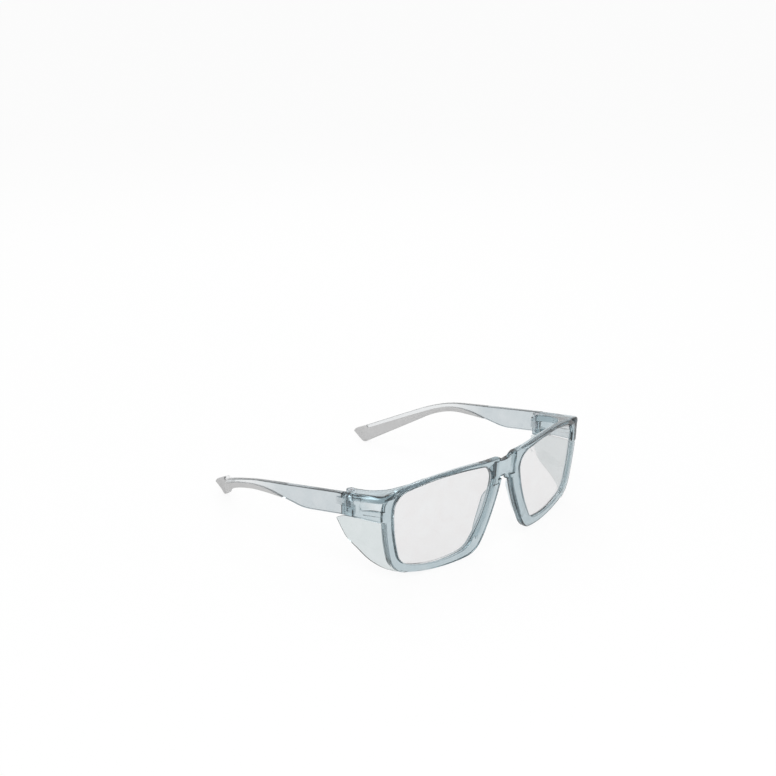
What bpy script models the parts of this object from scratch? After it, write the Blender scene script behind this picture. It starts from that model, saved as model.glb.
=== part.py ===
"""Safety spectacles with side shields, standing open on a table.

Metres, +Z up. The wearer looks along -Y, and the wearer's left is +X.
Shapes are drawn with y = 0 at the foremost point of the brow; the root empty centres them.
"""
import bpy
import bmesh
from math import ceil, cos, radians, sin, tan
from mathutils import Matrix, Vector

# Lens opening, seen from the front: four corners joined by bowed sides
OPENING_HALF_GAP = 0.0088       # centre line to the upper nasal corner
OPENING_WIDTH = 0.0564          # along the brow
OPENING_HEIGHT = 0.0393         # between the nasal corners
BROW_FALL = 0.0020              # upper lateral corner below the upper nasal one
FOOT_RISE = 0.0025              # lower lateral corner above the lower nasal one
NASAL_SLANT = 0.0149            # lower nasal corner stands out this far
LATERAL_SLANT = 0.0044          # lower lateral corner stands in this far
TOP_PEAK = 0.0036               # each side is drawn to a low peak, which an arc then rounds off
LATERAL_PEAK = 0.0021
BOTTOM_PEAK = 0.0050
NASAL_PEAK = 0.0040
UPPER_NASAL_RADIUS = 0.0081
UPPER_LATERAL_RADIUS = 0.0083
LOWER_LATERAL_RADIUS = 0.0102
LOWER_NASAL_RADIUS = 0.0138

# Rim around the opening
RIM_TOP = 0.0017
RIM_LATERAL = 0.0045
RIM_BOTTOM = 0.0036
RIM_NASAL = 0.0067
RIM_DEPTH = 0.0038
REST_FLAT = 0.0002              # how much of the rim's lowest bow is cut flat to stand on

# The front bends round the face: flat at the nose, then a wing either side, and leans back at the bottom
FRONT_FLAT = 0.0166             # half width of the middle, to where the wing's line meets it
WING_BEND_RADIUS = 0.050
WING_LENGTH = 0.028             # to where the wing's inner and outer lines meet, joined by an arc
WING_ANGLE = radians(11.5)
WING_CURL = radians(1.7)        # how much more the outer line turns
FRONT_TILT = radians(3.6)

# Lens and its groove
LENS_THICKNESS = 0.0018
LENS_SETBACK = 0.0009
LENS_EDGE = 0.0007              # how far the lens reaches into the rim
SEAT_GAP = 0.0003

# Bridge, set back between the rims
BRIDGE_HALF_WIDTH = 0.0052
BRIDGE_HEIGHT = 0.0081
BRIDGE_DEPTH = 0.0031
BRIDGE_SETBACK = 0.0018
BRIDGE_DROP = 0.0042            # below the top of the brow
BRIDGE_ARCH_RADIUS = 0.0030
BRIDGE_LEG = 0.0045             # how far the arch runs down each nasal bar

# Nose flanges, moulded on the rims' nasal bars
FLANGE_DEPTH = 0.0072           # behind the front surface
FLANGE_THICKNESS = 0.0022
FLANGE_SPLAY = radians(24)
FLANGE_TOP_DROP = 0.0135        # below the top of the brow
FLANGE_BASE = 0.0090            # above the table
FLANGE_CREST = 0.0070           # length of the deepest part
FLANGE_RADIUS = 0.0080

# Lug at each outer corner, in line with the temple
LUG_STANDOFF = 0.0021           # corner outside the rim's lateral edge
LUG_FLARE = 0.0017              # and the hinge end outside the corner
LUG_WALL = 0.0030
LUG_CORNER_RADIUS = 0.0050
LUG_INNER_RADIUS = 0.0020
LUG_UNDER_SLOPE = 0.085
ROOF_WIDTH = 0.0080             # the lug's top spreads inwards and fills the corner behind the brow
ROOF_RADIUS = 0.0090
ROOF_REACH = 0.0215             # from the lug's corner in along the brow
RAIL_HEIGHT = 0.0034
LOWER_RAIL_HEIGHT = 0.0035
POCKET_DEPTH = 0.0021
POCKET_LENGTH = 0.0125

# Hinge and temple. Reaches run back from the hinge.
HINGE_Y = 0.0366                # behind the brow
HINGE_DROP = 0.0081             # brow top to the temple's top edge at the hinge
ARM_HEIGHT = 0.0109
ARM_SLOPE = 0.171
ARM_THICKNESS = 0.0032
HINGE_GAP = 0.0003
KNUCKLE_RADIUS = 0.0022
KNUCKLE_BLOCK = 0.0066          # block that ties a knuckle to the arm or the lug
KNUCKLE_GAP = 0.0003
SCREW_RADIUS = 0.0007
SCREW_HEAD_RADIUS = 0.0012
SCREW_HEAD_HEIGHT = 0.0008
SCREW_SLOT = 0.0004
HEEL_REACH = 0.0254             # the arm's underside steps up at the heel
HEEL_RADIUS = 0.0030
NOTCH_REACH = 0.0394
NOTCH_RADIUS = 0.0040
NOTCH_STEP = 0.0038
UNDER_SLOPE = 0.07              # underside behind the notch
ELBOW_REACH = 0.0714            # where the arm starts to bend down
ELBOW_RADIUS = 0.120
UNDER_ELBOW_RADIUS = 0.060
INWARD_REACH = 0.0814           # where it turns in, as far as the straight tip
INWARD_RADIUS = 0.050
ARM_FLARE = 0.0027              # outer face at the turn, outside the hinge
STRAIGHT_REACH = 0.1100
STRAIGHT_RADIUS = 0.0140
TIP_REACH = 0.1187
TIP_TOE_IN = 0.0208             # outer face at the tip, inside the hinge
TIP_TOP = 0.0068                # above the table
TIP_REAR = 0.0049
TIP_BEVEL = 0.0012
TIP_FOOT = 0.0077               # tip to the foot it stands on
TIP_RADIUS = 0.0010
FOOT_SLOPE = 1.325              # of the underside at the tip, to the top edge's

# Grip on the rear of the temple
GRIP_STRIP = 0.0027             # clear plastic left above the grip
GRIP_RISE = 0.0140              # length over which the grip grows to that strip
GRIP_RISE_RADIUS = 0.0200
GRIP_BEND_RADIUS = 0.100
GRIP_CAP_LENGTH = 0.0150        # the whole tip behind this is grip
GRIP_CAP_RADIUS = 0.0040
CORE_THICKNESS = 0.0012
CORE_END = 0.0060
CORE_COVER = 0.0012             # rubber under and over the core's edges
CORE_ROOT = 0.0008              # how far the core's root runs up into the arm

# Side shield, set in a rebate behind the rim's lateral bar
SHIELD_THICKNESS = 0.0013
SHIELD_SETBACK = 0.0023         # behind the front surface
SHIELD_TUCK = 0.0003            # inside the rim's lateral edge
SHIELD_FLARE = 0.085            # spreads outwards, per unit of depth
SHIELD_LEAN = 0.19              # leans in towards the cheek, per unit of height
SHIELD_OVERHANG = 0.0066        # rear corner behind the hinge
SHIELD_CORNER_DROP = 0.0029     # and below the temple
SHIELD_CORNER_RADIUS = 0.0010
SHIELD_HEEL = 0.0010            # where its rear edge's line meets its base, behind the hinge
SHIELD_BASE = 0.0054
SHIELD_SWEEP_RADIUS = 0.0200

SPAN = 0.2                      # longer than anything here, for through cuts
SHORTEST = 0.000001             # edges shorter than this are welded away
NEARLY = 0.99                   # how much of a side its arcs may use up
ARC_STEP = radians(6)


for old in list(bpy.data.objects):
    bpy.data.objects.remove(old, do_unlink=True)
spectacles = bpy.data.collections.new("safety_spectacles")
cutters = bpy.data.collections.new("cutters")
bpy.context.scene.collection.children.link(spectacles)
bpy.context.scene.collection.children.link(cutters)


def rounded(corners):
    """A closed outline from corners (u, v, radius). Each radius becomes an arc, and None the largest that fits.

    Arcs that would meet on the side between them share it.
    """
    count = len(corners)
    places = [Vector(corner[:2]) for corner in corners]
    spans = [(places[(i + 1) % count] - places[i]).length for i in range(count)]
    turns = [(places[i] - places[i - 1]).angle(places[(i + 1) % count] - places[i]) for i in range(count)]
    trims = [(corner[2] or 0) * tan(turn / 2) for corner, turn in zip(corners, turns)]
    shares = [min(1, NEARLY * span / max(trims[i] + trims[(i + 1) % count], SHORTEST))
              for i, span in enumerate(spans)]
    trims = [trim * min(shares[i - 1], shares[i]) for i, trim in enumerate(trims)]
    outline = []
    for i, (here, turn, trim) in enumerate(zip(places, turns, trims)):
        if corners[i][2] is None:
            trim = NEARLY * min(spans[i - 1] - trims[i - 1], spans[i] - trims[(i + 1) % count])
        if trim < SHORTEST:
            outline.append(here)
            continue
        to_last = (places[i - 1] - here).normalized()
        to_next = (places[(i + 1) % count] - here).normalized()
        centre = here + (to_last + to_next).normalized() * trim / sin(turn / 2)
        spoke = here + to_last * trim - centre
        way = 1 if to_last.x * to_next.y < to_last.y * to_next.x else -1
        steps = max(3, ceil(turn / ARC_STEP))
        for k in range(steps + 1):
            outline.append(centre + Matrix.Rotation(way * turn * k / steps, 2) @ spoke)
    return outline


def tidy(mesh):
    """Weld a mesh and turn its faces outwards."""
    shape = bmesh.new()
    shape.from_mesh(mesh)
    bmesh.ops.remove_doubles(shape, verts=shape.verts, dist=SHORTEST)
    bmesh.ops.recalc_face_normals(shape, faces=shape.faces)
    shape.to_mesh(mesh)
    shape.free()


def evaluated_mesh(shape):
    bpy.context.view_layer.update()
    return bpy.data.meshes.new_from_object(shape.evaluated_get(bpy.context.evaluated_depsgraph_get()))


def prism(name, outline, plane, low, high):
    """Extrude a flat outline drawn in xy, xz or yz, from low to high on the third axis."""
    curve = bpy.data.curves.new(name, 'CURVE')
    curve.dimensions = '2D'
    curve.fill_mode = 'BOTH'
    curve.extrude = (high - low) / 2
    spline = curve.splines.new('POLY')
    spline.points.add(len(outline) - 1)
    for point, (u, v) in zip(spline.points, outline):
        point.co = (u, v, 0, 1)
    spline.use_cyclic_u = True
    drawn = bpy.data.objects.new(name, curve)
    cutters.objects.link(drawn)
    mesh = evaluated_mesh(drawn)
    bpy.data.objects.remove(drawn)
    across = {'xy': 'xyz', 'xz': 'xzy', 'yz': 'yzx'}[plane]
    axes = [Vector(['xyz'.index(axis) == i for i in range(3)]) for axis in across]
    turn = Matrix(axes).transposed().to_4x4()
    mesh.transform(Matrix.Translation(axes[2] * (low + high) / 2) @ turn)
    tidy(mesh)
    solid = bpy.data.objects.new(name, mesh)
    cutters.objects.link(solid)
    return solid


def combine(target, operation, *tools):
    """Boolean each tool into the target and drop the tool."""
    for tool in tools:
        step = target.modifiers.new(operation.lower(), 'BOOLEAN')
        step.operation = operation
        step.object = tool
        mesh = evaluated_mesh(target)
        target.modifiers.clear()
        target.data = mesh
        tidy(mesh)
        bpy.data.objects.remove(tool)
    return target


def common(first, *others):
    return combine(first, 'INTERSECT', *others)


def join(first, *others):
    return combine(first, 'UNION', *others)


def cut(first, *others):
    return combine(first, 'DIFFERENCE', *others)


def lean_back(solid):
    """Tilt a front-shaped solid: the foot of the front stands further back than the brow."""
    lean = Matrix.Identity(4)
    lean[1][2] = -tan(FRONT_TILT)
    lean[1][3] = tan(FRONT_TILT) * front_top
    solid.data.transform(lean)
    return solid


def offset_line(line, distance):
    """Move an open line of corners (u, v, radius) to its left, keeping its arcs concentric."""
    places = [Vector(corner[:2]) for corner in line]
    ways = [(after - before).normalized() for before, after in zip(places, places[1:])]
    ways = [ways[0], *ways, ways[-1]]
    moved = []
    for place, (_, _, radius), before, after in zip(places, line, ways, ways[1:]):
        left = Vector((-before.y - after.y, before.x + after.x)).normalized()
        turn = before.x * after.y - before.y * after.x
        if radius:
            radius -= distance if turn > 0 else -distance
        moved.append((*(place + left * distance / cos(before.angle(after) / 2)), radius))
    return moved


def front_line(setback):
    """The front's plan at the brow, offset back: flat middle, then a wing that turns once more."""
    bend = Vector((FRONT_FLAT, 0))
    middle = bend + Vector((cos(WING_ANGLE), sin(WING_ANGLE))) * WING_LENGTH
    end = middle + Vector((cos(WING_ANGLE + WING_CURL), sin(WING_ANGLE + WING_CURL))) * SPAN / 2
    line = [(-FRONT_FLAT, 0, 0), (*bend, WING_BEND_RADIUS), (*middle, None), (*end, 0)]
    return rounded(offset_line(line, setback) + [(-FRONT_FLAT, SPAN, 0)])[:-1]


def front_y(x, setback):
    """Depth of the surface that lies setback behind the front, at the brow."""
    line = front_line(setback)
    for (x0, y0), (x1, y1) in zip(line, line[1:]):
        if x <= x1:
            break
    return y0 + (y1 - y0) * (x - x0) / (x1 - x0)


def front_layer(name, near, far):
    """The bent layer between two depths behind the front surface."""
    return lean_back(prism(name, front_line(near) + front_line(far)[::-1], 'xy', -SPAN / 2, SPAN))


def eye_outline(widths, low):
    """The lens opening, its lower nasal corner at low, grown on its top, lateral, bottom and nasal sides."""
    inner = OPENING_HALF_GAP
    outer = OPENING_HALF_GAP + OPENING_WIDTH
    high = low + OPENING_HEIGHT
    corners = [Vector((inner, high)), Vector((outer, high - BROW_FALL)),
               Vector((outer - LATERAL_SLANT, low + FOOT_RISE)), Vector((inner + NASAL_SLANT, low))]
    peaks = (TOP_PEAK, LATERAL_PEAK, BOTTOM_PEAK, NASAL_PEAK)
    radii = (UPPER_NASAL_RADIUS, UPPER_LATERAL_RADIUS, LOWER_LATERAL_RADIUS, LOWER_NASAL_RADIUS)
    sides = []
    for i, width in enumerate(widths):
        along = (corners[(i + 1) % 4] - corners[i]).normalized()
        outward = Vector((-along.y, along.x))
        sides.append((corners[i] + outward * width, along, outward))
    grown = []
    for i in range(4):
        (start, along, _), (other, across, _) = sides[i - 1], sides[i]
        gap = other - start
        reach = (gap.x * across.y - gap.y * across.x) / (along.x * across.y - along.y * across.x)
        grown.append(start + along * reach)
    outline = []
    for i in range(4):
        peak = (grown[i] + grown[(i + 1) % 4]) / 2 + sides[i][2] * peaks[i]
        outline.append((*grown[i], radii[i] + (widths[i - 1] + widths[i]) / 2))
        outline.append((*peak, None))
    return rounded(outline)


# Heights worked out from the rim's outline, which stands on the table
rim_widths = (RIM_TOP, RIM_LATERAL, RIM_BOTTOM, RIM_NASAL)
opening_low = -REST_FLAT - min(z for _, z in eye_outline(rim_widths, 0))
front_top = max(z for _, z in eye_outline(rim_widths, opening_low))
hinge_top = front_top - HINGE_DROP
hinge_bottom = hinge_top - ARM_HEIGHT
rim_edge_x = OPENING_HALF_GAP + OPENING_WIDTH + RIM_LATERAL
lug_corner_x = rim_edge_x + LUG_STANDOFF
lug_x = lug_corner_x + LUG_FLARE
axis_x = lug_x - LUG_WALL - 2 * HINGE_GAP - KNUCKLE_RADIUS
heel_y = HINGE_Y + HEEL_REACH
notch_y = HINGE_Y + NOTCH_REACH
elbow_y = HINGE_Y + ELBOW_REACH
overall_depth = HINGE_Y + TIP_REACH


def even_outline(width):
    return eye_outline([width] * 4, opening_low)


def on_table(outline):
    """Cut an outline off flat at the table."""
    kept = []
    for (u0, v0), (u1, v1) in zip(outline, outline[1:] + outline[:1]):
        if v0 >= 0:
            kept.append((u0, v0))
        if v0 * v1 < 0:
            kept.append((u0 + (u1 - u0) * v0 / (v0 - v1), 0))
    return kept


def arm_line(y, height, slope=ARM_SLOPE):
    """Height of a line that slopes with the temple's top edge, by its height at the hinge."""
    return height + slope * (HINGE_Y - y)


notch_z = arm_line(notch_y, hinge_bottom) + NOTCH_STEP
tip_fall = (arm_line(elbow_y, hinge_top) - TIP_TOP) / (overall_depth - elbow_y)


def strip(name, top, bottom, y_low, y_high, under_slope=ARM_SLOPE):
    """A band that slopes with the temple, between two heights at the hinge."""
    corners = [(y_low, arm_line(y_low, top)), (y_high, arm_line(y_high, top)),
               (y_high, arm_line(y_high, bottom, under_slope)), (y_low, arm_line(y_low, bottom, under_slope))]
    return prism(name, corners, 'yz', 0, SPAN)


def corner_plan(name, corners):
    """A plan outline made a tall solid that leans with the front."""
    return lean_back(prism(name, rounded(corners), 'xy', -SPAN / 2, SPAN))


def make_lug():
    """The front's outer corner and the lug behind it: a solid corner, hollowed out under its roof."""
    corner_y = front_y(lug_corner_x, 0)
    overrun = HINGE_Y + LUG_WALL
    overrun_x = lug_x + LUG_WALL * LUG_FLARE / (HINGE_Y - corner_y)
    roof_x = lug_corner_x - ROOF_REACH
    wall_x = rim_edge_x - RIM_LATERAL / 2
    far_x = roof_x - LUG_WALL
    middle = RIM_DEPTH / 2
    block = [(roof_x, front_y(roof_x, LENS_SETBACK), 0), (lug_corner_x, corner_y, LUG_CORNER_RADIUS),
             (overrun_x, overrun, 0), (overrun_x - ROOF_WIDTH, overrun, 0),
             (lug_corner_x - ROOF_WIDTH, corner_y + ROOF_WIDTH, ROOF_RADIUS),
             (roof_x, front_y(roof_x, middle), 0)]
    hollow = [(overrun_x - LUG_WALL, overrun, 0), (far_x, overrun, 0), (far_x, front_y(far_x, middle), 0),
              (wall_x, front_y(wall_x, middle), 0),
              (lug_corner_x - LUG_WALL, corner_y + LUG_WALL, LUG_INNER_RADIUS)]
    lug = common(corner_plan("lug", block),
                 strip("lug_side", hinge_top, hinge_bottom, 0, HINGE_Y - HINGE_GAP, LUG_UNDER_SLOPE))
    return cut(lug, common(corner_plan("hollow", hollow),
                           strip("hollow_side", hinge_top - RAIL_HEIGHT, -SPAN, 0, SPAN)))


def knuckle(name, low, high, to_front):
    """One hinge barrel, with the block that joins it to the lug or to the temple."""
    left, right = axis_x - KNUCKLE_RADIUS, axis_x + KNUCKLE_RADIUS
    way = -1 if to_front else 1
    tip = HINGE_Y - way * KNUCKLE_RADIUS
    seat = HINGE_Y + way * HINGE_GAP
    root = HINGE_Y + way * KNUCKLE_BLOCK
    inside = lug_x - ARM_THICKNESS / 2
    corners = [(left, tip, KNUCKLE_RADIUS), (right, tip, KNUCKLE_RADIUS),
               (right, seat, 0), (inside, seat, 0), (inside, root, 0),
               (left, HINGE_Y + way * KNUCKLE_RADIUS, KNUCKLE_RADIUS / 2)]
    return prism(name, rounded(corners), 'xy', low, high)


def barrel(name, radius, low, high):
    """A round pin or bore on the hinge axis."""
    bpy.ops.mesh.primitive_cylinder_add(vertices=24, radius=radius, depth=high - low,
                                        location=(axis_x, HINGE_Y, (low + high) / 2))
    solid = bpy.context.object
    solid.name = name
    solid.data.transform(solid.matrix_world)
    solid.matrix_world = Matrix.Identity(4)
    for home in list(solid.users_collection):
        home.objects.unlink(solid)
    cutters.objects.link(solid)
    return solid


# The outer knuckles are as high as the lug's rails, and the temple's fills the room between them
lower_knuckle = (hinge_bottom, hinge_bottom + LOWER_RAIL_HEIGHT)
upper_knuckle = (hinge_top - RAIL_HEIGHT, hinge_top)
middle_knuckle = (lower_knuckle[1] + KNUCKLE_GAP, upper_knuckle[0] - KNUCKLE_GAP)
screw_seat = upper_knuckle[1] - SCREW_HEAD_HEIGHT
screw_end = lower_knuckle[0] + KNUCKLE_RADIUS / 2


def screw_bore():
    """Clearance for the screw's shank and head."""
    bore = barrel("bore", SCREW_RADIUS + SEAT_GAP, screw_end - SEAT_GAP, hinge_top + ARM_HEIGHT)
    return join(bore, barrel("head_bore", SCREW_HEAD_RADIUS + SEAT_GAP, screw_seat - SEAT_GAP,
                             hinge_top + ARM_HEIGHT))


def make_front():
    """Half of the front moulding; a Mirror makes the other half."""
    front = common(prism("front_frame", on_table(eye_outline(rim_widths, opening_low)), 'xz', -SPAN, SPAN),
                   front_layer("rim", 0, RIM_DEPTH))
    bridge_top = front_top - BRIDGE_DROP
    bridge_low = bridge_top - BRIDGE_HEIGHT
    cut(front, common(prism("step", [(-SPAN, bridge_low), (BRIDGE_HALF_WIDTH, bridge_low),
                                     (BRIDGE_HALF_WIDTH, SPAN), (-SPAN, SPAN)], 'xz', -SPAN, SPAN),
                      front_layer("step_depth", -RIM_DEPTH, BRIDGE_SETBACK + SEAT_GAP)))
    root_x = BRIDGE_HALF_WIDTH + RIM_NASAL / 2
    leg_x = BRIDGE_HALF_WIDTH - BRIDGE_ARCH_RADIUS / 2
    arch = [(-FRONT_FLAT / 2, bridge_top, 0), (root_x, bridge_top, 0), (root_x, bridge_low - BRIDGE_LEG, 0),
            (leg_x, bridge_low - BRIDGE_LEG, 0), (leg_x, bridge_low, BRIDGE_ARCH_RADIUS),
            (-FRONT_FLAT / 2, bridge_low, 0)]
    join(front, common(prism("bridge", rounded(arch), 'xz', -SPAN, SPAN),
                       front_layer("bridge_depth", BRIDGE_SETBACK, BRIDGE_SETBACK + BRIDGE_DEPTH)))
    join(front, make_lug(), knuckle("lower_knuckle", *lower_knuckle, True),
         knuckle("upper_knuckle", *upper_knuckle, True), nose_flange())
    pocket_start = front_y(lug_corner_x, 0)
    pocket_x = lug_corner_x - POCKET_DEPTH
    pocket = common(strip("pocket", hinge_top - RAIL_HEIGHT, hinge_bottom + LOWER_RAIL_HEIGHT,
                          pocket_start, pocket_start + POCKET_LENGTH),
                    prism("pocket_depth", [(pocket_x, -SPAN), (SPAN, -SPAN), (SPAN, SPAN), (pocket_x, SPAN)],
                          'xy', -SPAN, SPAN))
    groove = common(prism("groove", even_outline(LENS_EDGE + SEAT_GAP), 'xz', -SPAN, SPAN),
                    front_layer("groove_depth", LENS_SETBACK - SEAT_GAP,
                                LENS_SETBACK + LENS_THICKNESS + SEAT_GAP))
    opening = common(prism("opening", even_outline(0), 'xz', -SPAN, SPAN),
                     front_layer("opening_depth", -RIM_DEPTH, RIM_DEPTH + SEAT_GAP))
    cut(front, pocket, opening, groove, screw_bore(), make_shield(SEAT_GAP))
    mirror = front.modifiers.new("mirror", 'MIRROR')
    mirror.use_bisect_axis[0] = True
    mirror.bisect_threshold = SHORTEST
    mirror.merge_threshold = SHORTEST
    whole = evaluated_mesh(front)
    front.modifiers.clear()
    front.data = whole
    tidy(whole)
    return front


def nose_flange():
    """The splayed pad behind the nasal bar, as thick as a strip of the rim's nasal edge."""
    pad = prism("nose_flange", eye_outline((0, 0, 0, RIM_NASAL), opening_low), 'xz', 0, SPAN / 4)
    cut(pad, prism("flange_back", eye_outline((RIM_TOP, RIM_LATERAL, RIM_BOTTOM, RIM_NASAL - FLANGE_THICKNESS),
                                              opening_low), 'xz', -SPAN, SPAN))
    splay = Matrix.Identity(4)
    splay[0][1] = tan(FLANGE_SPLAY)
    splay[0][3] = -tan(FLANGE_SPLAY) * RIM_DEPTH / 2
    pad.data.transform(splay)
    top, base = front_top - FLANGE_TOP_DROP, FLANGE_BASE
    middle = (top + base) / 2
    shallow, deep = RIM_DEPTH / 2, FLANGE_DEPTH
    side = [(shallow, top, 0), (deep, middle + FLANGE_CREST / 2, FLANGE_RADIUS),
            (deep, middle - FLANGE_CREST / 2, FLANGE_RADIUS), (shallow, base, 0)]
    return common(pad, lean_back(prism("flange_side", rounded(side), 'yz', -SPAN, SPAN)))


def make_lens():
    return common(prism("lens", even_outline(LENS_EDGE), 'xz', -SPAN, SPAN),
                  front_layer("lens_depth", LENS_SETBACK, LENS_SETBACK + LENS_THICKNESS))


def make_shield(clearance=0.0):
    """A thin plate set in the rim's lateral bar and swept up to the rear, or the room that it needs."""
    top = hinge_bottom - 2 * SEAT_GAP + clearance
    start = front_y(rim_edge_x, 0)
    end = HINGE_Y - HINGE_GAP
    rear = HINGE_Y + SHIELD_OVERHANG
    side = [(start, arm_line(start, top, LUG_UNDER_SLOPE), 0), (end, top, 0),
            (rear, arm_line(rear, hinge_bottom) - SHIELD_CORNER_DROP + clearance, SHIELD_CORNER_RADIUS),
            (HINGE_Y + SHIELD_HEEL, SHIELD_BASE - clearance, SHIELD_SWEEP_RADIUS),
            (start, SHIELD_BASE - clearance, 0)]
    outer = rim_edge_x - SHIELD_TUCK + clearance
    inner = outer - SHIELD_THICKNESS - 2 * clearance
    spread = SHIELD_FLARE * SPAN
    plan = [(outer, start), (outer + spread, start + SPAN), (inner + spread, start + SPAN), (inner, start)]
    plate = prism("side_shield", plan, 'xy', 0, SPAN / 4)
    lean = Matrix.Identity(4)
    lean[0][2] = SHIELD_LEAN
    lean[0][3] = -SHIELD_LEAN * hinge_bottom
    plate.data.transform(lean)
    common(plate, prism("shield_side", rounded(side), 'yz', 0, SPAN))
    return cut(plate, front_layer("face", -RIM_DEPTH, SHIELD_SETBACK - clearance))


def arm_plan(name, inset_out, inset_in):
    """The temple seen from above: straight, then turned in towards the head, then straight at the tip."""
    tip_x = lug_x - TIP_TOE_IN
    outer = [(lug_x, HINGE_Y, 0), (lug_x + ARM_FLARE, HINGE_Y + INWARD_REACH, INWARD_RADIUS),
             (tip_x, HINGE_Y + STRAIGHT_REACH, STRAIGHT_RADIUS), (tip_x, SPAN, 0)]
    corners = offset_line(outer, inset_out) + offset_line(outer, inset_in)[::-1]
    return prism(name, rounded(corners), 'xy', -SPAN, SPAN)


def arm_side():
    """The temple's outline seen from the side."""
    start = HINGE_Y + HINGE_GAP
    foot_y = overall_depth - TIP_FOOT
    foot_fall = FOOT_SLOPE * tip_fall
    under_y = (foot_fall * foot_y - notch_z - UNDER_SLOPE * notch_y) / (foot_fall - UNDER_SLOPE)
    return [(start, arm_line(start, hinge_top), 0), (elbow_y, arm_line(elbow_y, hinge_top), ELBOW_RADIUS),
            (overall_depth - TIP_BEVEL, TIP_TOP, TIP_RADIUS), (overall_depth, TIP_REAR, TIP_RADIUS),
            (foot_y, -REST_FLAT, TIP_RADIUS),
            (under_y, notch_z - UNDER_SLOPE * (under_y - notch_y), UNDER_ELBOW_RADIUS),
            (notch_y, notch_z, NOTCH_RADIUS), (heel_y, arm_line(heel_y, hinge_bottom), HEEL_RADIUS),
            (start, arm_line(start, hinge_bottom), 0)]


def grip_zone(name, clearance):
    """What the grip takes of the arm, seen from the side: the lower part, then the whole tip."""
    rise_y = notch_y + GRIP_RISE
    cap_y = overall_depth - GRIP_CAP_LENGTH
    cap_top = TIP_TOP + tip_fall * GRIP_CAP_LENGTH
    above = cap_top + GRIP_CAP_LENGTH
    edge = [(notch_y - NOTCH_RADIUS + clearance, notch_z - NOTCH_RADIUS, 0),
            (notch_y + clearance, notch_z - clearance, 0),
            (rise_y, arm_line(rise_y, hinge_top) - GRIP_STRIP - clearance, GRIP_RISE_RADIUS),
            (elbow_y, arm_line(elbow_y, hinge_top) - GRIP_STRIP - clearance, GRIP_BEND_RADIUS),
            (cap_y + clearance, cap_top - GRIP_STRIP / 2 - clearance, GRIP_CAP_RADIUS),
            (cap_y + GRIP_CAP_RADIUS + clearance, above, 0),
            (SPAN, above, 0), (SPAN, -SPAN, 0), (notch_y, -SPAN, 0)]
    return prism(name, rounded(edge), 'yz', -SPAN, SPAN)


def arm_blank(name):
    """The whole arm, grip and all."""
    return common(prism(name, on_table(rounded(arm_side())), 'yz', 0, SPAN),
                  arm_plan("arm_plan", 0, ARM_THICKNESS))


def core(name, clearance):
    """The blade of arm that runs inside the grip."""
    inset = (ARM_THICKNESS - CORE_THICKNESS) / 2 - clearance
    cover = CORE_COVER - clearance
    limit = overall_depth - CORE_END + clearance
    outline = rounded(arm_side())
    blade = common(prism(name, [(y, z + cover) for y, z in outline], 'yz', 0, SPAN),
                   prism("core_top", [(y, z - cover) for y, z in outline], 'yz', 0, SPAN),
                   arm_plan("core_plan", inset, ARM_THICKNESS - inset))
    return common(blade, grip_zone("core_zone", -CORE_ROOT),
                  prism("core_limit", [(0, -SPAN), (limit, -SPAN), (limit, SPAN), (0, SPAN)], 'yz', 0, SPAN))


def make_temple():
    temple = cut(arm_blank("temple"), grip_zone("grip_bed", 0))
    join(temple, core("core", 0), knuckle("middle_knuckle", *middle_knuckle, False))
    return cut(temple, screw_bore())


def make_grip():
    grip = common(arm_blank("temple_grip"), grip_zone("grip_side", SEAT_GAP))
    return cut(grip, core("core_slot", SEAT_GAP))


def make_screw():
    """A slotted screw that pins the three knuckles."""
    screw = join(barrel("hinge_screw", SCREW_RADIUS, screw_end, screw_seat + SCREW_HEAD_HEIGHT / 2),
                 barrel("screw_head", SCREW_HEAD_RADIUS, screw_seat, hinge_top))
    slot = [(axis_x - SCREW_SLOT / 2, -SPAN), (axis_x + SCREW_SLOT / 2, -SPAN),
            (axis_x + SCREW_SLOT / 2, SPAN), (axis_x - SCREW_SLOT / 2, SPAN)]
    return cut(screw, prism("slot", slot, 'xy', hinge_top - SCREW_SLOT, hinge_top + SCREW_SLOT))


def empty(name, parent, place):
    """A point that pieces hang from."""
    point = bpy.data.objects.new(name, None)
    spectacles.objects.link(point)
    point.parent = parent
    point.location = place
    return point


def finish(name, colour, roughness, metallic=0.0, alpha=1.0):
    """A Principled material in the piece's own colour."""
    material = bpy.data.materials.new(name)
    material.use_nodes = True
    shader = material.node_tree.nodes["Principled BSDF"]
    shader.inputs["Base Color"].default_value = (*colour, 1)
    shader.inputs["Roughness"].default_value = roughness
    shader.inputs["Metallic"].default_value = metallic
    shader.inputs["Alpha"].default_value = alpha
    return material


def place(solid, name, parent, material):
    """Name a finished solid, hang it on its empty and give it its material."""
    cutters.objects.unlink(solid)
    spectacles.objects.link(solid)
    solid.name = name
    solid.parent = parent
    offset = Vector()
    point = parent
    while point.parent:
        offset += point.location
        point = point.parent
    solid.location = -offset
    solid.data.name = name
    solid.data.materials.clear()
    solid.data.materials.append(material)
    solid.data.shade_smooth()
    solid.data.set_sharp_from_angle(angle=radians(30))


root = empty("spectacles", None, (0, 0, 0))
hinges = {}
for side, sign in (("left", 1), ("right", -1)):
    hinges[side] = empty("hinge_" + side, root, (sign * axis_x, HINGE_Y, 0))

place(make_front(), "front_frame", root, finish("front_polycarbonate", (0.46, 0.56, 0.61), 0.06, alpha=0.5))

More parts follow.
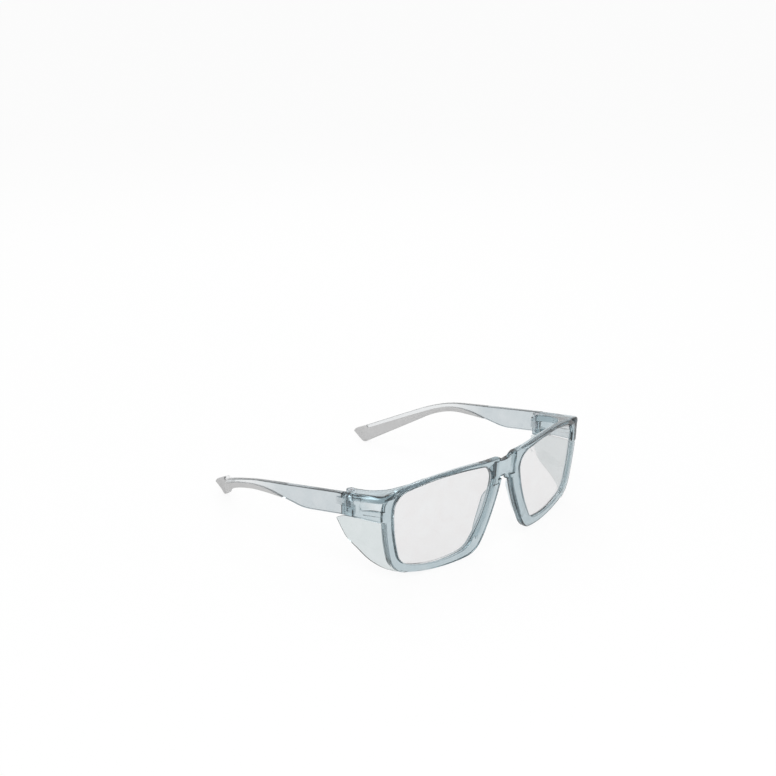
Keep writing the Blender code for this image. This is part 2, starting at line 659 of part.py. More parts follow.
pieces = (("lens", make_lens, None, finish("lens_clear", (0.86, 0.88, 0.88), 0.02, alpha=0.2)),
          ("side_shield", make_shield, None, finish("shield_clear", (0.68, 0.74, 0.75), 0.05, alpha=0.3)),
          ("temple", make_temple, hinges, finish("temple_polycarbonate", (0.62, 0.69, 0.72), 0.06, alpha=0.5)),
          ("temple_grip", make_grip, hinges, finish("grip_rubber", (0.52, 0.52, 0.52), 0.6)),
          ("hinge_screw", make_screw, None, finish("screw_steel", (0.62, 0.62, 0.64), 0.3, metallic=1.0)))
for name, make, carrier, material in pieces:
    left = make()
    right = left.copy()
    right.data = left.data.copy()
    right.data.transform(Matrix.Scale(-1, 4, (1, 0, 0)))
    right.data.flip_normals()
    cutters.objects.link(right)
    for solid, side in ((left, "left"), (right, "right")):
        place(solid, name + "_" + side, carrier[side] if carrier else root, material)

# Centre the open spectacles over the origin
depths = [vertex.co.y for solid in spectacles.objects if solid.type == 'MESH' for vertex in solid.data.vertices]
root.location.y = -(min(depths) + max(depths)) / 2
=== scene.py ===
"""Safety spectacles with side shields, standing open on a white table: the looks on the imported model."""
import math

import bpy
import numpy as np
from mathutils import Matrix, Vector


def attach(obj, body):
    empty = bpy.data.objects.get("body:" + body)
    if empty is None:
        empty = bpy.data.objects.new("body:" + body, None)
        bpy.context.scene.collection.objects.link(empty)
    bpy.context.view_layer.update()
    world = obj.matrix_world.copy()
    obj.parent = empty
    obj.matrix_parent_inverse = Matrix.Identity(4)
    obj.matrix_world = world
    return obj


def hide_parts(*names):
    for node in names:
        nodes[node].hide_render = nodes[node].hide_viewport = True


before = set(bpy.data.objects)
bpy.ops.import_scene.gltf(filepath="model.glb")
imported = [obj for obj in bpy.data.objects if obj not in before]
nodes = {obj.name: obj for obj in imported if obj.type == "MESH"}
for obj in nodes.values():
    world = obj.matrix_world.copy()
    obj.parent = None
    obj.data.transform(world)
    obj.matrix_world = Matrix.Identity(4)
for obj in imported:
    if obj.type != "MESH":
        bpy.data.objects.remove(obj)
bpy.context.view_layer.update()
scene = bpy.context.scene
scene.view_settings.view_transform = 'Standard'

# Camera: a 63 mm lens on a full-frame body, 0.69 m away, in front of the wearer's right side and above.
# The lens is shifted so that the spectacles sit right of the middle and below it.
bpy.ops.object.camera_add(location=(-0.4608, -0.4495, 0.2864))
camera = bpy.context.object
camera.name = "camera"
sight = Vector((0.0, -0.01605, 0.0231)) - camera.location
camera.rotation_euler = sight.to_track_quat('-Z', 'Y').to_euler()
camera.data.lens = 63.0
camera.data.sensor_width = 36.0
camera.data.shift_x = -0.0326
camera.data.shift_y = 0.1035
camera.data.clip_start = 0.01
scene.camera = camera


def linear(code):
    """An sRGB hex colour as linear RGBA."""
    parts = [int(code[i:i + 2], 16) / 255 for i in (1, 3, 5)]
    return [c / 12.92 if c <= 0.04045 else ((c + 0.055) / 1.055) ** 2.4 for c in parts] + [1.0]


def add_node(tree, kind, settings=None, inputs=None):
    """Add a node, set its properties, and give each input a value or a link."""
    node = tree.nodes.new(kind)
    for key, value in (settings or {}).items():
        setattr(node, key, value)
    for key, value in (inputs or {}).items():
        if isinstance(value, bpy.types.NodeSocket):
            tree.links.new(value, node.inputs[key])
        else:
            node.inputs[key].default_value = value
    return node


def new_material(name):
    """An empty node material, its nodes and its output node."""
    made = bpy.data.materials.new(name)
    made.use_nodes = True
    made.node_tree.nodes.clear()
    return made, made.node_tree, add_node(made.node_tree, "ShaderNodeOutputMaterial")


# World: an even white studio. What the camera, gloss and clear plastic see of it is white;
# the light that it gives is lower, and the lamps make up the rest.
def seen_directly(tree):
    """A socket that is 1 for the camera, for gloss and through clear plastic, and otherwise 0."""
    path = add_node(tree, "ShaderNodeLightPath")
    seen = add_node(tree, "ShaderNodeMath", {"operation": 'MAXIMUM'},
                    {0: path.outputs["Is Camera Ray"], 1: path.outputs["Is Glossy Ray"]})
    seen = add_node(tree, "ShaderNodeMath", {"operation": 'MAXIMUM'},
                    {0: seen.outputs[0], 1: path.outputs["Is Transmission Ray"]})
    return seen.outputs[0]


world = bpy.data.worlds.new("studio")
world.use_nodes = True
tree = world.node_tree
tree.nodes.clear()
level = add_node(tree, "ShaderNodeMapRange", None,
                 {"Value": seen_directly(tree), "To Min": 0.75, "To Max": 1.0})
light = add_node(tree, "ShaderNodeBackground", None, {"Color": (1, 1, 1, 1), "Strength": level.outputs[0]})
add_node(tree, "ShaderNodeOutputWorld", None, {"Surface": light.outputs[0]})
scene.world = world

# Floor: a white table top. The camera sees it nearly as white as the studio, with a soft shadow on it.
bpy.ops.mesh.primitive_plane_add(size=24.0)
floor = bpy.context.object
floor.name = "table_top"
material, tree, out = new_material("white_table")
share = add_node(tree, "ShaderNodeMath", {"operation": 'MULTIPLY'}, {0: seen_directly(tree), 1: 0.9})
top = add_node(tree, "ShaderNodeBsdfDiffuse", None, {"Color": linear("#F4F4F4")})
glow = add_node(tree, "ShaderNodeEmission", None, {"Color": (1, 1, 1, 1), "Strength": 1.0})
mixed = add_node(tree, "ShaderNodeMixShader", None,
                 {0: share.outputs[0], 1: top.outputs[0], 2: glow.outputs[0]})
tree.links.new(mixed.outputs[0], out.inputs["Surface"])
floor.data.materials.append(material)

# Lamps: a large softbox above and in front, and a smaller one behind that lights the edges.
# Gloss mirrors only the white studio round them.
for name, place, size, power in (("softbox", (-0.35, -0.45, 0.75), 0.7, 3.0),
                                 ("rear_softbox", (0.40, 0.50, 0.65), 0.5, 1.4)):
    lamp = bpy.data.lights.new(name, 'AREA')
    lamp.size = size
    lamp.energy = power
    lamp_object = bpy.data.objects.new(name, lamp)
    lamp_object.location = place
    lamp_object.visible_glossy = False
    lamp_object.rotation_euler = (-Vector(place)).to_track_quat('-Z', 'Y').to_euler()
    scene.collection.objects.link(lamp_object)


# Front: one clear polycarbonate moulding of two rims, a set-back bridge and a roofed lug at each corner.
# Its faces are polished, and its edges are softened by the mould. One half is modelled and then mirrored.
def rounded_outline(corners, steps):
    """A closed outline in mm from corners (u, v, radius), with arcs of that many steps.

    A radius of None takes the largest arc that its two sides leave room for.
    """
    count = len(corners)
    spots = [Vector(corner[:2]) for corner in corners]
    spans = [(spots[(i + 1) % count] - spots[i]).length for i in range(count)]
    bends = [(spots[i] - spots[i - 1]).angle(spots[(i + 1) % count] - spots[i]) for i in range(count)]
    trims = [(corner[2] or 0) * math.tan(bend / 2) for corner, bend in zip(corners, bends)]
    line = []
    for i, here in enumerate(spots):
        trim = trims[i]
        if corners[i][2] is None:
            trim = 0.99 * min(spans[i - 1] - trims[i - 1], spans[i] - trims[(i + 1) % count])
        if trim < 0.001:
            line.append(here)
            continue
        back = (spots[i - 1] - here).normalized()
        ahead = (spots[(i + 1) % count] - here).normalized()
        centre = here + (back + ahead).normalized() * trim / math.sin(bends[i] / 2)
        first, last = here + back * trim - centre, here + ahead * trim - centre
        for k in range(steps + 1):
            spoke = first * math.sin((1 - k / steps) * bends[i]) + last * math.sin(k / steps * bends[i])
            line.append(centre + spoke / math.sin(bends[i]))
    return line


def eye_outline(top, lateral, bottom, nasal, radii=(8.1, 8.3, 9.5, 9.5)):
    """The lens opening seen from the front, in mm, grown by a width on each of its four bowed sides."""
    corners = [Vector(spot) for spot in ((8.8, 45.09), (65.2, 43.09), (60.8, 8.29), (23.7, 5.79))]
    widths, bows = (top, lateral, bottom, nasal), (3.6, 2.1, 5.0, 4.0)
    sides = []
    for i in range(4):
        along = (corners[(i + 1) % 4] - corners[i]).normalized()
        out = Vector((-along.y, along.x))
        sides.append((corners[i] + out * widths[i], along, out))
    grown = []
    for i in range(4):
        (start, along, _), (other, across, _) = sides[i - 1], sides[i]
        gap = other - start
        turn = along.x * across.y - along.y * across.x
        grown.append(start + along * (gap.x * across.y - gap.y * across.x) / turn)
    line = []
    for i, radius in enumerate(radii):
        line.append((*grown[i], radius))
        line.append((*((grown[i] + grown[(i + 1) % 4]) / 2 + sides[i][2] * bows[i]), None))
    return rounded_outline(line, 20)


# Plan of the front's face in mm: flat at the nose, bent on a 50 mm radius, then nearly straight to the lug
flat_end, bend_radius = 11.565, 50
wing_x, wing_y, wing_radius = 21.759, 1.05, 1532
bend_turns, wing_turns = np.radians(np.linspace(0, 11.5, 25)), np.radians(np.linspace(11.5, 13.2, 13))
face_turns = np.concatenate([[0, 0], bend_turns, wing_turns, wing_turns[-1:]])
plan_x = np.concatenate([[-30, 0], flat_end + bend_radius * np.sin(bend_turns),
                         wing_x + wing_radius * (np.sin(wing_turns) - math.sin(wing_turns[0])), [120]])
plan_y = np.concatenate([[0, 0], bend_radius - bend_radius * np.cos(bend_turns),
                         wing_y + wing_radius * (math.cos(wing_turns[0]) - np.cos(wing_turns)), [0]])
plan_y[-1] = plan_y[-2] + (plan_x[-1] - plan_x[-2]) * math.tan(wing_turns[-1])

# The rim's top is the foremost edge, half the depth before the middle, and the face leans back below it
rim_height, half_depth, lean = 48.504, 77.502, math.tan(math.radians(3.6))


def lean_y(z):
    """How far back the lean puts a height, from the middle of the spectacles."""
    return lean * (rim_height - z) - half_depth


def face_y(x, z, depth):
    """Where the front lies in mm, this deep behind its bent and leaning face."""
    line_x, line_y = plan_x - depth * np.sin(face_turns), plan_y + depth * np.cos(face_turns)
    return float(np.interp(x, line_x, line_y)) + lean_y(z)


def select_only(piece):
    """Make a piece the one that the next operator works on."""
    bpy.ops.object.select_all(action='DESELECT')
    piece.select_set(True)
    bpy.context.view_layer.objects.active = piece


def shape(piece, spots):
    """Move a new primitive's vertices to places in mm, and turn its faces outwards."""
    for vertex, spot in zip(piece.data.vertices, spots, strict=True):
        vertex.co = [0.001 * c for c in spot]
    select_only(piece)
    bpy.ops.object.transform_apply()
    bpy.ops.object.mode_set(mode='EDIT')
    bpy.ops.mesh.select_all(action='SELECT')
    bpy.ops.mesh.remove_doubles(threshold=0.000001)
    bpy.ops.mesh.normals_make_consistent(inside=False)
    bpy.ops.object.mode_set(mode='OBJECT')
    return piece


def ring_solid(name, rings):
    """A closed band through rings of points, from a torus."""
    bpy.ops.mesh.primitive_torus_add(major_segments=len(rings), minor_segments=len(rings[0]),
                                     generate_uvs=False)
    bpy.context.object.name = name
    return shape(bpy.context.object, [spot for ring in rings for spot in ring])


def tube_solid(name, rings):
    """A bar through rings of points with flat ends, from a grid that is wrapped round and closed."""
    bpy.ops.mesh.primitive_grid_add(x_subdivisions=len(rings[0]), y_subdivisions=len(rings) - 1)
    bpy.context.object.name = name
    bar = shape(bpy.context.object, [spot for ring in rings for spot in (*ring, ring[0])])
    bpy.ops.object.mode_set(mode='EDIT')
    bpy.ops.mesh.select_all(action='DESELECT')
    bpy.ops.mesh.select_mode(type='EDGE')
    bpy.ops.mesh.select_non_manifold()
    bpy.ops.mesh.fill_holes(sides=0)
    bpy.ops.mesh.select_all(action='SELECT')
    bpy.ops.mesh.normals_make_consistent(inside=False)
    bpy.ops.object.mode_set(mode='OBJECT')
    return bar


def plate_solid(name, outline, low, high):
    """A flat outline in mm, extruded upwards."""
    bpy.ops.mesh.primitive_circle_add(vertices=len(outline), fill_type='NGON')
    bpy.context.object.name = name
    plate = shape(bpy.context.object, [(*spot, low) for spot in outline])
    bpy.ops.object.mode_set(mode='EDIT')
    bpy.ops.mesh.select_all(action='SELECT')
    bpy.ops.mesh.extrude_region_move(TRANSFORM_OT_translate={"value": (0, 0, 0.001 * (high - low))})
    bpy.ops.mesh.select_all(action='SELECT')
    bpy.ops.mesh.normals_make_consistent(inside=False)
    bpy.ops.object.mode_set(mode='OBJECT')
    return plate


def soft_edges(piece, width):
    """Round a piece's sharp edges by a width in mm."""
    select_only(piece)
    rounding = piece.modifiers.new("rounding", 'BEVEL')
    rounding.width = 0.001 * width
    rounding.segments = 3
    rounding.limit_method = 'ANGLE'
    rounding.angle_limit = math.radians(40)
    bpy.ops.object.modifier_apply(modifier=rounding.name)


def combine(piece, operation, *tools):
    """Add tools to a piece or cut them out of it."""
    for tool in tools:
        select_only(piece)
        step = piece.modifiers.new(operation, 'BOOLEAN')
        step.operation = operation
        step.object = tool
        bpy.ops.object.modifier_apply(modifier=step.name)
        bpy.data.objects.remove(tool)
        bpy.ops.object.mode_set(mode='EDIT')
        bpy.ops.mesh.select_all(action='SELECT')
        bpy.ops.mesh.remove_doubles(threshold=0.000001)
        bpy.ops.object.mode_set(mode='OBJECT')


def smooth_finish(piece):
    """Smooth shading with flat faces kept flat and sharp edges kept sharp."""
    select_only(piece)
    bpy.ops.object.shade_smooth_by_angle(angle=math.radians(40))
    weighting = piece.modifiers.new("weighting", 'WEIGHTED_NORMAL')
    weighting.keep_sharp = True
    bpy.ops.object.modifier_apply(modifier=weighting.name)
    piece.data.materials.clear()


def quarter(steps=4):
    """Sine and cosine at even steps over a quarter turn, for a rounded corner."""
    return [(math.sin(a), math.cos(a)) for a in (math.pi / 2 * k / steps for k in range(steps + 1))]


def part_way(run, length):
    """How much of a length a run has covered, from 0 to 1."""
    return min(1, max(0, run / length))


# Rim: its section is carried round the opening, with the lens groove inside, deeper along the brow.
# From the lug's underside round the lower corner it is rebated behind a thin lip, for the side shield.
opening, edge = eye_outline(0, 0, 0, 0), eye_outline(1.7, 4.5, 3.6, 6.7, (4.5, 11.4, 12.0, 12.5))
rim_depth, front_soft, rear_soft = 3.8, 0.45, 0.4
groove_low, groove_top, groove_front, groove_rear = 0.2, 0.4, 0.75, 2.85
shield_seat = 0.75
rings = []
for inside, outside in zip(opening, edge):
    width = (outside - inside).length
    groove = groove_low + (groove_top - groove_low) * part_way(inside.y - 24, 14)
    sunk = part_way(31.9 - outside.y, 0.8) * part_way(outside.x - 57.0, 1.5)
    lip, back, seat = 1.0 - 0.55 * sunk, 1.1 - 0.8 * sunk, width - shield_seat * sunk
    section = [(front_soft - front_soft * c, front_soft - front_soft * s) for s, c in quarter()]
    section += [(width - lip + lip * s, lip - lip * c) for s, c in quarter()]
    section += [(width, lip + 0.10), (seat, lip + 0.12)]
    section += [(seat - back + back * c, rim_depth - back + back * s) for s, c in quarter()]
    section += [(rear_soft - rear_soft * s, rim_depth - rear_soft + rear_soft * c) for s, c in quarter()]
    section += [(0, groove_rear), (groove, groove_rear), (groove, groove_front), (0, groove_front)]
    way = (outside - inside).normalized()
    ring = []
    for across, depth in section:
        spot = inside + way * across
        z = max(spot.y, 0)
        ring.append((spot.x, face_y(spot.x, z, depth), z))
    rings.append(ring)
front = ring_solid("front_moulding", rings)

# The rims' inner corners are cut back on a slope, with the bridge's flat face and arch between them
bridge_low, bridge_high, bridge_face, bridge_rear, step_depth = 36.2, 44.6, 1.8, 4.9, 2.1
step = [(6.5 - depth if out else -12, face_y(0, z, depth), z)
        for out in (0, 1) for z in (bridge_low, 60) for depth in (-6, step_depth)]
bpy.ops.mesh.primitive_cube_add()
step_cut = shape(bpy.context.object, step)
soft_edges(step_cut, 0.25)
combine(front, 'DIFFERENCE', step_cut)
arch_flat, arch_radius = 0.7, 3.0
arch = [arch_flat + arch_radius * math.sin(math.pi / 2 * k / 9) for k in range(10)]
rings = []
for x in [-5.0, -4.0] + [-x for x in arch[::-1]] + arch + [4.5, 5.5, 6.5, 7.5, 9.0]:
    reach = abs(x)
    fall = max(0, min(reach - arch_flat, arch_radius))
    low = bridge_low - arch_radius + math.sqrt(arch_radius ** 2 - fall ** 2)
    high = bridge_high + 0.12 * reach + 0.006 * reach ** 2
    rear = bridge_rear - 1.5 * part_way(reach - 5, 4) ** 2
    section = [(bridge_face + 0.6 - 0.6 * s, high - 0.6 + 0.6 * c) for s, c in quarter(3)]
    section += [(bridge_face + 0.4 - 0.4 * c, low + 0.4 - 0.4 * s) for s, c in quarter(3)]
    section += [(rear - 0.8 + 0.8 * s, low + 0.8 - 0.8 * c) for s, c in quarter(3)]
    section += [(rear - 1.0 + 1.0 * c, high - 1.0 + 1.0 * s) for s, c in quarter(3)]
    rings.append([(x, face_y(0, z, depth), z) for depth, z in section])
combine(front, 'UNION', tube_solid("bridge", rings))

# Lug: a wall from the rim back to the hinge, under a roof that fills the corner and runs along the brow.
# It ends square, a little short of the temple.
hinge_x, hinge_y, knuckle = 67.7, 36.6 - half_depth, 2.2
lug_end = hinge_y + 0.1
# Each row: outer edge x, y and height, inner edge x, y and height, foot of the wall, roof's thickness.
# A row's y counts back from the front's foremost edge.
rows = np.array([(73.48, 36.3, 40.45, 65.5, 36.3, 40.45, 29.53, 3.4),
                 (73.2, 32.2, 41.15, 65.35, 32.2, 41.15, 29.9, 3.4),
                 (72.9, 28.0, 41.85, 65.15, 28.2, 41.85, 30.2, 3.4),
                 (72.6, 24.0, 42.55, 64.6, 24.6, 42.6, 30.6, 3.4),
                 (72.35, 20.0, 43.2, 63.6, 21.8, 43.2, 30.9, 3.4),
                 (72.05, 15.8, 43.9, 62.4, 19.4, 43.75, 31.3, 3.3),
                 (71.6, 13.6, 44.3, 61.4, 18.2, 44.1, 31.5, 3.2),
                 (70.4, 12.0, 44.6, 60.3, 17.2, 44.4, 31.6, 3.1),
                 (68.2, 11.35, 44.75, 59.2, 16.4, 44.7, 31.7, 3.0),
                 (66.4, 11.2, 44.8, 58.2, 15.6, 45.0, 38.0, 2.9),
                 (65.2, 11.6, 44.85, 57.2, 14.9, 45.2, 41.2, 2.8),
                 (64.0, 12.3, 44.9, 56.2, 14.2, 45.4, 41.5, 2.7),
                 (62.4, 12.9, 45.1, 55.0, 13.5, 45.6, 42.0, 2.6),
                 (60.6, 12.9, 45.6, 53.6, 12.75, 45.8, 43.0, 2.4),
                 (57.5, 12.2, 46.2, 52.0, 11.9, 46.1, 44.0, 2.2),
                 (54.0, 11.35, 46.75, 50.2, 11.05, 46.4, 44.7, 2.0),
                 (50.0, 10.4, 47.2, 48.4, 10.3, 46.7, 45.3, 1.8),
                 (47.2, 9.75, 47.4, 46.6, 9.72, 46.9, 45.6, 1.6)])
last = len(rows) - 1
spread = []
for place in np.linspace(0, last, 52):
    i = min(int(place), last - 1)
    t = place - i
    before, here, after, later = (rows[min(max(j, 0), last)] for j in (i - 1, i, i + 1, i + 2))
    spread.append(0.5 * (2 * here + (after - before) * t
                         + (2 * before - 5 * here + 4 * after - later) * t * t
                         + (3 * here - before - 3 * after + later) * t ** 3))
rings = []
for ax, ay, az, bx, by, bz, foot, thick in spread:
    reach = math.hypot(bx - ax, by - ay)
    wall = min(3.0, 0.4 * reach)
    big, small = min(1.8, 0.4 * reach), min(0.7, 0.2 * reach)
    tight = 0.5 * small
    rise = (bz - az) / reach
    under = az + rise * wall - thick
    foot = min(foot, under - 1.3 * small)
    section = [(big - big * c, az - big + big * s) for s, c in quarter(5)]
    section += [(reach - small + small * s, bz - small + small * c) for s, c in quarter(3)]
    section += [(reach - small + small * c, bz - thick + small - small * s) for s, c in quarter(3)]
    section += [(wall + small - small * s, under - small + small * c) for s, c in quarter(3)]
    section += [(wall - tight + tight * c, foot + tight - tight * s) for s, c in quarter(2)]
    section += [(tight - tight * s, foot + tight - tight * c) for s, c in quarter(2)]
    ring = []
    for across, z in section:
        t = across / reach
        ring.append((ax + (bx - ax) * t, min(ay + (by - ay) * t + lean_y(z), lug_end), z))
    rings.append(ring)
combine(front, 'UNION', tube_solid("lug", rings))


# Two of the hinge's three knuckles stand at the end of the lug, on blocks
def knuckle_outline(way):
    """A knuckle with its block, seen from above in mm; the block runs forward for -1 and back for 1."""
    near, far, root = hinge_x - knuckle, hinge_x + knuckle, 71.9
    corners = [(near, -knuckle, knuckle), (far, -knuckle, knuckle), (far, 0.3, 0), (root, 0.3, 0),
               (root, 6.6, 0), (near, knuckle, knuckle / 2)]
    return rounded_outline([(x, hinge_y + way * y, radius) for x, y, radius in corners], 9)


for low, high in ((29.504, 33.004), (37.004, 40.404)):
    combine(front, 'UNION', plate_solid("knuckle", knuckle_outline(-1), low, high))

# Nose flange: a thin pad that splays back from the nasal bar
crest = rounded_outline([(1.9, 36.5, 0), (7.6, 28.5, 7.0), (7.0, 12.0, 8.0), (1.9, 5.0, 0)], 12)
nasal = np.array(sorted((spot.y, spot.x) for spot in edge if spot.x < 22 and 4 < spot.y < 40))
splay, root_half, tip_half = math.tan(math.radians(24)), 1.05, 0.75
tip_turns = [math.pi * k / 6 for k in range(7)]
rings = []
for depth, z in crest:
    x = float(np.interp(z, *nasal.T))
    depth = max(depth, 2.4)
    section = [(-root_half, 1.5), (root_half, 1.5)]
    section += [(tip_half * math.cos(a), depth - 0.7 + tip_half * math.sin(a)) for a in tip_turns]
    rings.append([(x + 1.1 + across + splay * (at - 1.9), face_y(0, z, 0) + at, z)
                  for across, at in section])
combine(front, 'UNION', tube_solid("nose_flange", rings))

# The lug's pocket, a fine groove under it and the screw's bore are cut last, and the half is mirrored.
# Pocket and groove fall to the rear and run out at the front, and the pocket's floor ends in a ramp.
# Each row: low and high edge and floor x at the front, floor's end y and x, outer y of the ramp, rounding.
hollow_rows = ((37.9, 42.4, 69.6, 20.5, 70.3, 43.0, 0.5), (35.9, 36.3, 70.4, 24.0, 71.9, 24.0, 0))
hollow_y, hollow_fall, clear_x = 7.0, 0.1778, 80
hollows = []
for low, high, front_x, end_y, end_x, ramp_y, soften in hollow_rows:
    corners = []
    for x, y in ((front_x, hollow_y), (end_x, end_y), (clear_x, hollow_y), (clear_x, ramp_y)):
        drop = hollow_fall * (y - hollow_y)
        corners += [(x, y - half_depth, low - drop), (x, y - half_depth, high - drop)]
    bpy.ops.mesh.primitive_cube_add()
    hollow = shape(bpy.context.object, corners)
    if soften:
        soft_edges(hollow, soften)
    hollows.append(hollow)
shank_bore, head_bore, bore_foot, above_front = 1.0, 1.5, 30.3, 50


def bore_outline(radius):
    """A circle round the hinge's axis, seen from above in mm."""
    angles = [math.tau * k / 32 for k in range(32)]
    return [(hinge_x + radius * math.cos(a), hinge_y + radius * math.sin(a)) for a in angles]


bores = [plate_solid("bore", bore_outline(radius), low, above_front)
         for radius, low in ((shank_bore, bore_foot), (head_bore, 39.3))]
combine(front, 'DIFFERENCE', *hollows, *bores)
select_only(front)
mirror = front.modifiers.new("mirror", 'MIRROR')
mirror.use_bisect_axis[0] = True
mirror.bisect_threshold = 0.000001
mirror.merge_threshold = 0.000001
bpy.ops.object.modifier_apply(modifier=mirror.name)
smooth_finish(front)


def clear_plastic(name, pale, dye, density, polish, swell, painted_light_span=None):
    """Moulded polycarbonate: bright where thin, tinted along the edges, with faint flow waves and haze.

    Pale tints the surface, and dye and density the depth. Polish is the least roughness, and swell is
    the waves' height in mm. The last argument, if given, is the stretch along y in metres over which the
    surface is painted lighter up to white: painted light, for the brightness that light from above gives.
    """
    made, tree, out = new_material(name)
    place = add_node(tree, "ShaderNodeTexCoord")
    flow = add_node(tree, "ShaderNodeTexNoise", None,
                    {"Vector": place.outputs["Object"], "Scale": 1 / 0.007, "Detail": 2.0,
                     "Distortion": 0.6})
    waves = add_node(tree, "ShaderNodeBump", None,
                     {"Height": flow.outputs[0], "Strength": 1.0, "Distance": 0.001 * swell})
    tone = add_node(tree, "ShaderNodeMix", {"data_type": 'RGBA'},
                    {0: flow.outputs[0], 6: linear(pale), 7: linear("#F6F8F9")})
    # Painted light: towards the rear the surface is painted lighter, up to white
    if painted_light_span:
        axes = add_node(tree, "ShaderNodeSeparateXYZ", None, {0: place.outputs["Object"]})
        back = add_node(tree, "ShaderNodeMapRange", None,
                        {"Value": axes.outputs["Y"], "From Min": painted_light_span[0], "From Max": painted_light_span[1]})
        tone = add_node(tree, "ShaderNodeMix", {"data_type": 'RGBA'},
                        {0: back.outputs[0], 6: tone.outputs[2], 7: (1, 1, 1, 1)})
    haze = add_node(tree, "ShaderNodeTexNoise", None,
                    {"Vector": place.outputs["Object"], "Scale": 1 / 0.0025, "Detail": 3.0})
    rough = add_node(tree, "ShaderNodeMapRange", None,
                     {"Value": haze.outputs[0], "From Min": 0.3, "From Max": 0.7,
                      "To Min": polish, "To Max": polish + 0.05})
    shader = add_node(tree, "ShaderNodeBsdfPrincipled", None,
                      {"Base Color": tone.outputs[2], "Roughness": rough.outputs[0],
                       "Normal": waves.outputs[0], "IOR": 1.58, "Transmission Weight": 1.0})
    tree.links.new(shader.outputs[0], out.inputs["Surface"])
    body = add_node(tree, "ShaderNodeVolumeAbsorption", None, {"Color": linear(dye), "Density": density})
    tree.links.new(body.outputs[0], out.inputs["Volume"])
    return made


def fit(piece, material, body, node):
    """Give a finished piece its material and its place on the model."""
    piece.data.materials.append(material)
    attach(piece, body)
    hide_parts(node)


front_plastic = clear_plastic("blue_grey_polycarbonate", "#D3DFE4", "#A3BCC3", 170.0, 0.07, 0.006)
fit(front, front_plastic, "front", "front_frame")


# Lenses: clear polycarbonate plates, hard-coated and polished, with their edges sprung into the groove.
# They are flat over most of their width and bend with the front near the nose.
def twin(piece, name):
    """The same piece for the other side, with its own mesh."""
    select_only(piece)
    bpy.ops.object.duplicate()
    other = bpy.context.object
    other.name = name
    other.scale.x = -1
    bpy.ops.object.transform_apply()
    bpy.ops.object.mode_set(mode='EDIT')
    bpy.ops.mesh.select_all(action='SELECT')
    bpy.ops.mesh.normals_make_consistent(inside=False)
    bpy.ops.object.mode_set(mode='OBJECT')
    return other


# The edge presses a few hundredths of a millimetre into the groove's floor
lens_edge = eye_outline(groove_top + 0.05, groove_low + 0.04, groove_low + 0.03, groove_low + 0.03)
lens_middle = sum(lens_edge, Vector((0, 0))) / len(lens_edge)
lens_front, lens_rear, bevel = 0.9, 2.7, 0.5
rings = []
for spot in lens_edge:
    shares = [*np.linspace(0, 0.9, 11), 1 - bevel / (spot - lens_middle).length]
    section = [(lens_front, share) for share in shares]
    section += [(lens_front + bevel, 1), (lens_rear - bevel, 1)]
    section += [(lens_rear, share) for share in shares[::-1]]
    ring = []
    for depth, share in section:
        x, z = lens_middle + (spot - lens_middle) * float(share)
        ring.append((x, face_y(x, z, depth), z))
    rings.append(ring)
lens = ring_solid("lens_plate_left", rings)
bpy.ops.object.mode_set(mode='EDIT')
bpy.ops.mesh.select_all(action='SELECT')
bpy.ops.mesh.delete_loose()
bpy.ops.object.mode_set(mode='OBJECT')
lens_plastic = clear_plastic("hard_coated_polycarbonate", "#F2F0F0", "#D2D0D0", 130.0, 0.0, 0.002)
# The plate's edge is ground, so it shows as a dull grey line round the opening
ground, tree, out = new_material("ground_polycarbonate")
place = add_node(tree, "ShaderNodeTexCoord")
grit = add_node(tree, "ShaderNodeTexNoise", None,
                {"Vector": place.outputs["Object"], "Scale": 1 / 0.0004, "Detail": 2.0})
tone = add_node(tree, "ShaderNodeMix", {"data_type": 'RGBA'},
                {0: grit.outputs[0], 6: linear("#8DA1A9"), 7: linear("#A9BAC0")})
shader = add_node(tree, "ShaderNodeBsdfPrincipled", None,
                  {"Base Color": tone.outputs[2], "Roughness": 0.6})
tree.links.new(shader.outputs[0], out.inputs["Surface"])
for piece, side in ((lens, "left"), (twin(lens, "lens_plate_right"), "right")):
    smooth_finish(piece)
    fit(piece, lens_plastic, "front", "lens_" + side)
    piece.data.materials.append(ground)
    for face in piece.data.polygons:
        face.material_index = int(abs(face.normal.y) < 0.5)

# Side shields: thin sheets of clear polycarbonate, set in the rim's rebate and swept back below the lug.
# Each follows the rim's lateral edge round its lower corner, and spreads a little as it goes back.
run = np.array([(spot.x, spot.y) for spot in edge if spot.x > 50 and spot.y < 33])
along = np.concatenate([[0], np.cumsum(np.hypot(*np.diff(run, axis=0).T))])
course = np.gradient(run, along, axis=0)
course /= np.hypot(course[:, 0], course[:, 1])[:, None]
sheet, side_flare, corner_flare = 0.65, 0.085, 0.15


def shield_spot(s, y, inward):
    """A place on the sheet: so far along the rim's edge, at a depth, and this deep in the sheet."""
    x, z, fall_x, fall_z = (float(np.interp(s, along, row)) for row in (*run.T, *course.T))
    low = part_way(15 - z, 11)
    flare = side_flare + corner_flare * low * low * (3 - 2 * low)
    stand = flare * (y - face_y(x, z, 0)) - 0.1 - inward
    return x - fall_z * stand, y, z + fall_x * stand


def shield_top(y):
    """How far along the rim's edge the sheet's upper edge is: it follows the lug, then falls away."""
    back = y + half_depth - 36.3
    return 3.53 + (0.085 if back < 0 else 0.415) * back


